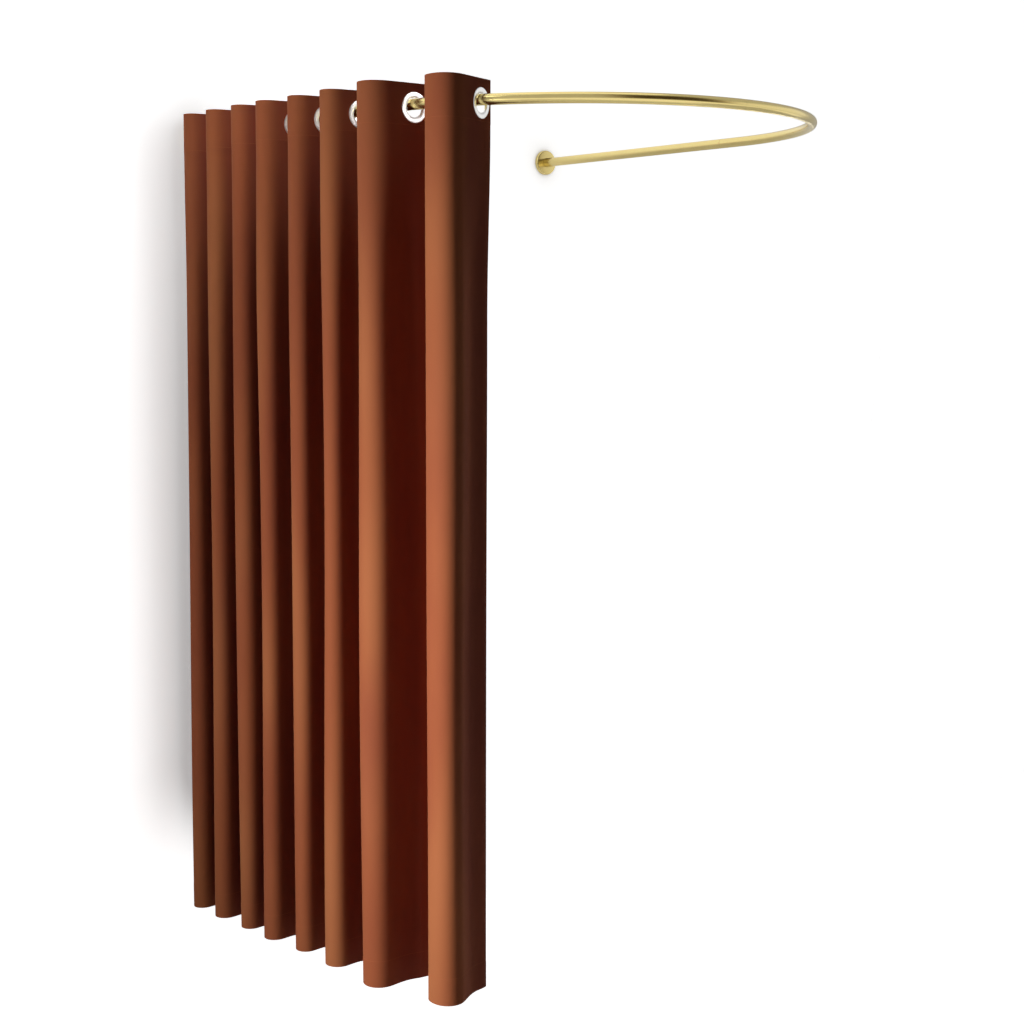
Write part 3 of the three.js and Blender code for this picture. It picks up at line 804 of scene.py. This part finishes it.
def curtain_line(rail, curtain):
    """Whole curtain in plan, from its free edge by the wall to its free edge on the bend: the plans
    of its outer folds, the kind and number of each piece of cloth, the distances along the line at
    which these meet, and the line's points with the distance of each."""
    plans = [fold_plan(rail, curtain, index) for index in range(FOLD_COUNT)]
    lines, names = [], []
    for index in range(FOLD_COUNT - 1, -1, -1):
        plan = plans[index]
        out = plan["out"]
        back_end = curtain.free_edge if index == FOLD_COUNT - 1 else curtain.inner_flank
        front_end = curtain.free_edge if index == 0 else curtain.inner_flank
        back_turn = plan["back"] + out * plan["flank"]
        front_turn = plan["front"] + out * plan["flank"]
        lines.append(np.vstack([
            straight(plan["back"] - out * back_end, back_turn),
            cubic(back_turn, out, front_turn, out, plan["rise"], FOLD_SKEW_SHARE),
            straight(front_turn, plan["front"] - out * front_end),
            plan["front"] - out * front_end,
        ]))
        names.append(("fold", index + 1))
        if index:
            near = plans[index - 1]
            start = plan["front"] - out * curtain.inner_flank
            end = near["back"] - near["out"] * curtain.inner_flank
            rise = curtain.inner_reach - curtain.inner_flank
            lines.append(np.vstack([cubic(start, -out, end, -near["out"], rise, 0.0), end]))
            names.append(("inner", index))
    whole = np.vstack([lines[0]] + [line[1:] for line in lines[1:]])
    lengths = [np.linalg.norm(np.diff(line, axis=0), axis=1).sum() for line in lines]
    ends = np.concatenate([[0], np.cumsum(lengths)])
    steps = np.linalg.norm(np.diff(whole, axis=0), axis=1)
    steps = np.concatenate([[0], np.cumsum(steps)])
    at = np.arange(0, ends[-1], PLAN_STEP)
    return plans, names, ends, at, eased(resampled(at, steps, whole), BEND_SOFTNESS, PLAN_STEP)


def side_ways(points):
    """Direction square to a line in plan at each of its points, to the left of the way along it."""
    ways = np.gradient(points, axis=0)
    ways /= np.linalg.norm(ways, axis=1)[:, None]
    return np.stack([-ways[:, 1], ways[:, 0]], -1)


def levels(curtain):
    """Heights of the cloth's rows from the top edge down: close together in the header and at the
    hem's edge, wider apart between."""
    seam, hem = seam_heights(curtain)
    step = curtain.hem_step
    header_count = max(2, int(round(curtain.header_depth / curtain.rows_header))) + 1
    middle_count = int(round((seam - hem) / curtain.rows_drop))
    return np.concatenate([
        np.linspace(curtain.rise, seam, header_count),
        np.linspace(seam - step, hem, middle_count),
        np.linspace(hem - step, curtain.rise - curtain.drop, HEM_ROWS),
    ])


def outer_shares(curtain, plan, line):
    """For the points of an outer fold's plan, their share of the pinch, which is largest on the
    flanks beside the rail and nothing on the round, and their share of ridge, nothing at the neck
    and all on the round."""
    reach = plan["flank"] + plan["rise"]
    out_by = (line - plan["back"]) @ plan["out"]
    across = (line - (plan["back"] + plan["front"]) / 2) @ plan["along"]
    end = plan["flank"] + plan["rise"] * PINCH_RISE_SHARE
    pinch = NECK_SHARE + (1 - NECK_SHARE) * smooth_step(out_by / curtain.inner_flank + 1)
    pinch = pinch * smooth_step(1 - out_by / end)
    pinch = pinch * smooth_step(np.abs(across) / (plan["width"] * PINCH_WIDTH_SHARE))
    return pinch, smooth_step((out_by / reach - RIDGE_START_SHARE) / RIDGE_RISE_SHARE)


def inner_shares(way):
    """The same two shares for an inner fold, by how far a point is from its nearer end."""
    from_end = np.minimum(way - way[0], way[-1] - way) / (way[-1] - way[0])
    pinch = NECK_SHARE * (1 - smooth_step(from_end / PINCH_INNER_SHARE))
    return pinch, smooth_step(from_end / RIDGE_INNER_SHARE)


def cloth_points(curtain, plan_line, sides, way, height, pinch):
    """Middle surface of the cloth. Below the header the folds settle over a set height: each flank
    draws in square to itself by the pinch, most at the fold's neck beside the rail, and the line
    wanders by a few slow waves whose phase changes along the cloth and down it: side-step = pinch +
    ripple times the sum of size sin(turn along + turn down + phase)."""
    settled = smooth_step((curtain.rise - curtain.header_depth - height) / curtain.settle)[:, None]
    lower = ((curtain.rise - height) / curtain.drop)[:, None]
    wander = sum(size * np.sin(along * way + down * lower + phase)
                 for size, along, down, phase in WANDER_WAVES)
    move = curtain.pinch * pinch * settled + curtain.ripple * WANDER_SHARE * wander * settled
    points = np.empty((len(height), len(way), 3))
    points[..., :2] = plan_line + sides * move[..., None]
    points[..., 2] = height[:, None]
    return points


def cloth_thickness(curtain, way, height, total):
    """Thickness of the cloth at each height and place along it: doubled in the header, and thicker
    by a hem's extra in the bottom hem and in the side hem along each free edge."""
    seam, hem = seam_heights(curtain)
    thick = np.where(height >= seam, curtain.header_thickness, curtain.thickness)
    hemmed = height <= hem - curtain.hem_step
    thick = np.where(hemmed, curtain.thickness + curtain.hem_extra, thick)
    from_edge = np.minimum(way, total - way)
    extra = np.where(from_edge < curtain.side_hem, curtain.hem_extra, 0.0)
    return thick[:, None] + extra


def uncut_cells(middle, crossings, level, radius):
    """Mask of a sheet's cells whose middle lies outside the round holes at some plan points."""
    centre = (middle[1:, 1:] + middle[:-1, :-1]) / 2
    kept = np.ones(centre.shape[:2], bool)
    for crossing in crossings:
        flat = np.linalg.norm(centre[..., :2] - crossing, axis=-1)
        kept &= np.hypot(flat, centre[..., 2] - level) > radius
    return kept


def eyelet_level(rail, eyelets):
    """Height of the eyelets' centres, which hang from the tube's top by a little room."""
    return rail.tube_diameter / 2 + eyelets.hang - eyelets.bore / 2


def sheet_shell(front, back, kept):
    """Closed shell from two grids of points and a mask of the cells that are kept: the front and
    back of each kept cell, and a wall on every edge where a kept cell borders a dropped one or the
    sheet's end."""
    rows, columns = front.shape[:2]
    index = np.arange(rows * columns).reshape(rows, columns)
    offset = rows * columns
    i, j = np.nonzero(kept)
    a, b, c, d = index[i, j], index[i + 1, j], index[i + 1, j + 1], index[i, j + 1]
    faces = [np.stack([a, b, c, d], -1), np.stack([d, c, b, a], -1) + offset]
    around = np.pad(kept, 1)
    for edge, neighbour in (
        ((a, d), around[i, j + 1]), ((c, b), around[i + 2, j + 1]),
        ((b, a), around[i + 1, j]), ((d, c), around[i + 1, j + 2]),
    ):
        bare = ~neighbour
        first, second = edge[0][bare], edge[1][bare]
        faces.append(np.stack([first, second, second + offset, first + offset], -1))
    faces = np.concatenate(faces)
    points = np.concatenate([front.reshape(-1, 3), back.reshape(-1, 3)])
    used, faces = np.unique(faces, return_inverse=True)
    return points[used], outward(points[used], faces.reshape(-1, 4)), used


def chart_cloth(piece, chart, hollow_shade):
    """Map of the cloth in metres, along it and up it, and each point's share of painted shade in
    the folds' hollows, from nothing on a fold's ridge to all at its neck, kept as the piece's own
    layers."""
    mesh = piece.data
    shares = mesh.attributes.new("hollow_shade", "FLOAT", "POINT")
    shares.data.foreach_set("value", hollow_shade.astype(np.float32))
    layer = mesh.uv_layers.new(name="cloth_map")
    corners = np.empty(len(mesh.loops), np.int32)
    mesh.loops.foreach_get("vertex_index", corners)
    layer.data.foreach_set("uv", chart[corners].astype(np.float32).ravel())


class FITTINGROOM_OT_curtain(bpy.types.Operator):
    """Build the curtain as outer and inner folds of one cloth"""

    bl_idname = "fittingroom.curtain"
    bl_label = "Curtain"

    def execute(self, context):
        scene = context.scene
        rail, curtain = scene.fitting_room_rail, scene.fitting_room_curtain
        eyelets = scene.fitting_room_eyelets
        material = cloth_finish(scene.fitting_room_finish, curtain)
        level = eyelet_level(rail, eyelets)
        plans, names, ends, at, line = curtain_line(rail, curtain)
        sides = side_ways(line)
        height = levels(curtain)
        for (kind, number), low, high in zip(names, ends, ends[1:]):
            count = max(FEWEST_COLUMNS, int(round((high - low) / curtain.spacing)) + 1)
            way = np.linspace(low, high, count)
            plan_line = resampled(way, at, line)
            square = resampled(way, at, sides)
            square /= np.linalg.norm(square, axis=1)[:, None]
            if kind == "fold":
                plan = plans[number - 1]
                pinch, ridge = outer_shares(curtain, plan, plan_line)
                crossings = [plan["back"], plan["front"]]
            else:
                pinch, ridge = inner_shares(way)
                crossings = []
            middle = cloth_points(curtain, plan_line, square, way, height, pinch)
            thick = cloth_thickness(curtain, way, height, ends[-1])
            shift = np.zeros_like(middle)
            shift[..., :2] = square * (thick / 2)[..., None]
            kept = uncut_cells(middle, crossings, level, eyelets.cloth_hole)
            points, faces, used = sheet_shell(middle + shift, middle - shift, kept)
            label = f"curtain_{kind}_{number}_cloth"
            piece = mesh_piece(label, points, faces, material, CLOTH_SMOOTH_BELOW)
            chart = np.stack(np.broadcast_arrays(way, height[:, None]), -1).reshape(-1, 2)
            # Share of painted shade for the cloth's colour: nothing on the ridges, all at the necks
            hollow_shade = np.tile(1 - ridge, len(height) * 2)
            chart_cloth(piece, np.vstack([chart, chart])[used], hollow_shade[used])
            if kind == "fold":
                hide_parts(f"curtain_fold_{number}")
                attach(piece, f"fold_{number}")
            else:
                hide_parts(f"curtain_inner_fold_{number}")
                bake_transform(piece)
        return {"FINISHED"}


def eyelet_profile(eyelets):
    """Closed section of an eyelet as radius and depth: a flat lip with a rounded edge over the
    header, a bevel down into the bore, and the same on the other side."""
    outer, bore = eyelets.diameter / 2, eyelets.bore / 2
    crown, groove = eyelets.half_depth, eyelets.groove
    inward, rise = np.array(EYELET_LIP).T
    lip = np.column_stack([outer - inward * (outer - bore), groove + rise * (crown - groove)])
    lip = np.vstack([[(bore + eyelets.barrel_wall, groove)], lip])
    return np.vstack([lip, lip[::-1] * np.array([1, -1])])


def eyelet_group():
    """Collection of the eyelets that stand behind another fold, which alone mirror a white card."""
    return bpy.data.collections.get("eyelets") or bpy.data.collections.new("eyelets")


class FITTINGROOM_OT_eyelets(bpy.types.Operator):
    """Build the sixteen eyelets, two to a fold"""

    bl_idname = "fittingroom.eyelets"
    bl_label = "Eyelets"

    def execute(self, context):
        scene = context.scene
        rail, curtain = scene.fitting_room_rail, scene.fitting_room_curtain
        eyelets = scene.fitting_room_eyelets
        material = eyelet_finish(scene.fitting_room_finish)
        profile = eyelet_profile(eyelets)
        around = circle(EYELET_SIDES)
        sideways = profile[:, :1] * np.cos(around)
        for index in range(FOLD_COUNT):
            plan = fold_plan(rail, curtain, index)
            for number, crossing in ((2 * index + 1, plan["front"]), (2 * index + 2, plan["back"])):
                points = np.empty((len(profile), EYELET_SIDES, 3))
                points[..., :2] = (crossing + plan["out"] * sideways[..., None]
                                   + plan["along"] * profile[:, 1][:, None, None])
                points[..., 2] = eyelet_level(rail, eyelets) + profile[:, :1] * np.sin(around)
                piece = ring_piece(f"metal_eyelet_{number}", points, material)
                if index:
                    eyelet_group().objects.link(piece)
                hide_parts(f"eyelet_{number}")
                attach(piece, f"fold_{index + 1}")
        return {"FINISHED"}


# Stage: the wall stands a little behind the wall plates' backs, and the floor below the curtain
WALL_GAP = 0.0005
WALL_REACH = 9
WALL_TOP = 5
FLOOR_REACH = 4
FLOOR_HEIGHT = -2.13

# Lamps: name, place, target, width, height, power, spread in degrees, and whether metal mirrors it
LAMPS = (
    ("side_lamp", (-5.6, -1.0, -1.25), (-1.15, -1.70, -1.15), 0.8, 1.2, 23.0, 50.0, True),
    ("high_lamp", (-2.6, -0.7, 1.5), (-1.2, -0.4, -0.1), 1.2, 0.8, 5.5, 180.0, True),
    ("header_lamp", (-2.0, -1.0, 1.05), (-1.22, -0.26, 0.10), 0.4, 0.4, 0.5, 34.0, True),
    ("ceiling_lamp", (-0.9, -1.4, 3.4), (-0.6, -0.9, 0.0), 3.0, 2.4, 14.0, 180.0, True),
    ("inner_lamp", (1.4, -0.11, -1.2), (-1.0, -0.55, -0.8), 0.2, 1.4, 13.0, 180.0, False),
    ("eyelet_card", (-0.25, -2.0, 0.15), (-1.15, -0.75, 0.0), 1.3, 1.0, 50.0, 180.0, True),
)

# Camera: place, turn from +Y towards +X, dip below level, and lens and sensor in millimetres
CAMERA_PLACE = (-3.737, -4.449, -0.517)
CAMERA_TURN = math.radians(39.1)
CAMERA_DIP = math.radians(4.93)
CAMERA_LENS = 69.5
CAMERA_SENSOR = 36.0

# World: its strength on matt surfaces, and the room that polished metal sees. A pair holds the
# values at which a share is nothing and at which it is all, sideways as the sine of the angle from
# straight out and upward as the sine of the height. The dark opening has its turn, its half-width,
# where it begins out from the wall, its foot, its head, its shade and its tint. The bright side has
# its near edge, its head and its share, the far floor the height from which down it is bright, and
# the room's shades are those where nothing and where all is bright.
AMBIENT = 0.04
PAST_ONE = 1.0001  # keeps the cosine of the height above nothing at the zenith
OPENING_TURN = math.radians(-7)
OPENING_SIDE = (0.58, 0.30)
OPENING_AHEAD = (0.05, -0.15)
OPENING_FOOT = (-0.30, -0.05)
OPENING_HEAD = (0.92, 0.66)
OPENING_SHADE = 0.10
OPENING_TINT = (1.0, 0.74, 0.32, 1.0)
BRIGHT_SIDE = (0.42, 0.66)
BRIGHT_SIDE_HEAD = (0.48, 0.28)
BRIGHT_SIDE_SHARE = 0.7
BRIGHT_FLOOR = (-0.10, -0.36)
ROOM_SHADES = (0.54, 1.1)


def plane(name, corners, material):
    """Flat stage surface from its four corners, in order."""
    mesh = bpy.data.meshes.new(name)
    mesh.from_pydata(corners, [], [(0, 1, 2, 3)])
    mesh.materials.append(material)
    surface = bpy.data.objects.new(name, mesh)
    bpy.context.scene.collection.objects.link(surface)


def soft_lamp(name, place, target, width, height, power, spread, mirrored):
    """Rectangular area lamp that points at a target, its beam narrowed to a spread in degrees, and
    seen in polished metal if it is mirrored."""
    data = bpy.data.lights.new(name, "AREA")
    data.shape = "RECTANGLE"
    data.size = width
    data.size_y = height
    data.energy = power
    data.spread = math.radians(spread)
    lamp = bpy.data.objects.new(name, data)
    lamp.location = place
    lamp.visible_camera = False
    lamp.visible_glossy = mirrored
    aim = Vector(target) - Vector(place)
    lamp.rotation_euler = aim.to_track_quat("-Z", "Y").to_euler()
    bpy.context.scene.collection.objects.link(lamp)
    return lamp


def studio_world():
    """White to the camera, a weak even light to matt surfaces. Polished metal sees a half-bright
    room, brighter at eye level on one side and over the far floor, with a dark opening straight out
    from the wall: the share of dark falls off with the angle sideways from the opening's middle,
    below it and towards the zenith."""
    world = bpy.data.worlds.new("pale_studio")
    bpy.context.scene.world = world
    world.use_nodes = True
    tree = world.node_tree
    nodes, links = tree.nodes, tree.links
    nodes.clear()
    output = nodes.new("ShaderNodeOutputWorld")
    path = nodes.new("ShaderNodeLightPath")
    way = nodes.new("ShaderNodeTexCoord").outputs["Generated"]
    parts = nodes.new("ShaderNodeSeparateXYZ")
    links.new(way, parts.inputs["Vector"])
    x, y, z = (parts.outputs[axis] for axis in "XYZ")
    turned_x = maths(tree, "ADD", maths(tree, "MULTIPLY", x, math.cos(OPENING_TURN)),
                     maths(tree, "MULTIPLY", y, -math.sin(OPENING_TURN)))
    level = maths(tree, "SQRT", maths(tree, "SUBTRACT", PAST_ONE, maths(tree, "MULTIPLY", z, z)))
    sideways = maths(tree, "ABSOLUTE", maths(tree, "DIVIDE", turned_x, level))
    within = softened(tree, sideways, *OPENING_SIDE)
    ahead = softened(tree, y, *OPENING_AHEAD)
    above = softened(tree, z, *OPENING_FOOT)
    below = softened(tree, z, *OPENING_HEAD)
    dark = maths(tree, "MULTIPLY", maths(tree, "MULTIPLY", within, ahead),
                 maths(tree, "MULTIPLY", above, below))
    beside = softened(tree, maths(tree, "DIVIDE", x, level), *BRIGHT_SIDE)
    near_level = maths(tree, "MULTIPLY", above, softened(tree, z, *BRIGHT_SIDE_HEAD))
    beside = maths(tree, "MULTIPLY", beside, near_level)
    beside = maths(tree, "MULTIPLY", beside, BRIGHT_SIDE_SHARE)
    bright = maths(tree, "MAXIMUM", beside, softened(tree, z, *BRIGHT_FLOOR))
    bright = ranged(tree, bright, *ROOM_SHADES)
    shown = maths(tree, "MULTIPLY", bright, ranged(tree, dark, 1.0, OPENING_SHADE))
    shades = []
    for strength in (1.0, AMBIENT, 1.0):
        background = nodes.new("ShaderNodeBackground")
        background.inputs["Color"].default_value = WHITE
        background.inputs["Strength"].default_value = strength
        shades.append(background)
    seen, ambient, mirrored = shades
    links.new(shown, mirrored.inputs["Strength"])
    links.new(mixed(tree, dark, WHITE, OPENING_TINT), mirrored.inputs["Color"])
    first = nodes.new("ShaderNodeMixShader")
    links.new(path.outputs["Is Glossy Ray"], first.inputs["Fac"])
    links.new(ambient.outputs["Background"], first.inputs[1])
    links.new(mirrored.outputs["Background"], first.inputs[2])
    second = nodes.new("ShaderNodeMixShader")
    links.new(path.outputs["Is Camera Ray"], second.inputs["Fac"])
    links.new(first.outputs["Shader"], second.inputs[1])
    links.new(seen.outputs["Background"], second.inputs[2])
    links.new(second.outputs["Shader"], output.inputs["Surface"])


class FITTINGROOM_OT_stage(bpy.types.Operator):
    """Set the wall, the floor, the lamps, the world and the camera"""

    bl_idname = "fittingroom.stage"
    bl_label = "Studio Stage"

    def execute(self, context):
        scene = context.scene
        finish = scene.fitting_room_finish
        wall = pale_finish("studio_wall", finish.wall, scale=1.3, glow=0.95, axis="Z",
                           dim_at=-0.35, bright_at=0.25, close_shadow=0.22)
        floor = pale_finish("studio_floor", finish.floor, scale=1.1, glow=0.96, axis="Y",
                            dim_at=-2.3, bright_at=-3.0)
        gap, low = WALL_GAP, FLOOR_HEIGHT
        side, top = WALL_REACH, WALL_TOP
        plane("studio_wall", [(-side, gap, low), (side, gap, low), (side, gap, top),
                              (-side, gap, top)], wall)
        side = FLOOR_REACH
        plane("studio_floor", [(-side, -side, low), (side, -side, low), (side, gap, low),
                               (-side, gap, low)], floor)
        lamps = {row[0]: soft_lamp(*row) for row in LAMPS}
        card = lamps["eyelet_card"]  # shows only as a gleam on the eyelets
        card.visible_diffuse = False
        card.light_linking.receiver_collection = eyelet_group()
        card.light_linking.blocker_collection = eyelet_group()
        studio_world()
        scene.view_settings.view_transform = "Standard"
        data = bpy.data.cameras.new("photo_camera")
        data.lens = CAMERA_LENS
        data.sensor_width = CAMERA_SENSOR
        camera = bpy.data.objects.new("photo_camera", data)
        camera.location = CAMERA_PLACE
        camera.rotation_euler = (math.pi / 2 - CAMERA_DIP, 0.0, -CAMERA_TURN)
        scene.collection.objects.link(camera)
        scene.camera = camera
        return {"FINISHED"}


STEPS = ("stage", "tubes", "roses", "fittings", "eyelets", "curtain")


class FITTINGROOM_PT_panel(bpy.types.Panel):
    """Sidebar panel that lists the pieces of the fitting room"""

    bl_idname = "FITTINGROOM_PT_panel"
    bl_label = "Fitting Room"
    bl_space_type = "VIEW_3D"
    bl_region_type = "UI"
    bl_category = "Fitting Room"

    def draw(self, context):
        for step in STEPS:
            self.layout.operator(f"fittingroom.{step}")


GROUPS = {
    "fitting_room_rail": FittingRoomRail,
    "fitting_room_curtain": FittingRoomCurtain,
    "fitting_room_eyelets": FittingRoomEyelets,
    "fitting_room_finish": FittingRoomFinish,
}
CLASSES = (
    *GROUPS.values(),
    FITTINGROOM_OT_stage,
    FITTINGROOM_OT_tubes,
    FITTINGROOM_OT_roses,
    FITTINGROOM_OT_fittings,
    FITTINGROOM_OT_eyelets,
    FITTINGROOM_OT_curtain,
    FITTINGROOM_PT_panel,
)


def register():
    """Register the classes and hang the property groups on the scene."""
    for item in CLASSES:
        bpy.utils.register_class(item)
    for name, group in GROUPS.items():
        setattr(bpy.types.Scene, name, bpy.props.PointerProperty(type=group))


def unregister():
    """Undo register."""
    for name in GROUPS:
        delattr(bpy.types.Scene, name)
    for item in reversed(CLASSES):
        bpy.utils.unregister_class(item)


def main():
    """Build every piece in order."""
    register()
    for step in STEPS:
        getattr(bpy.ops.fittingroom, step)()


if __name__ == "__main__":
    main()
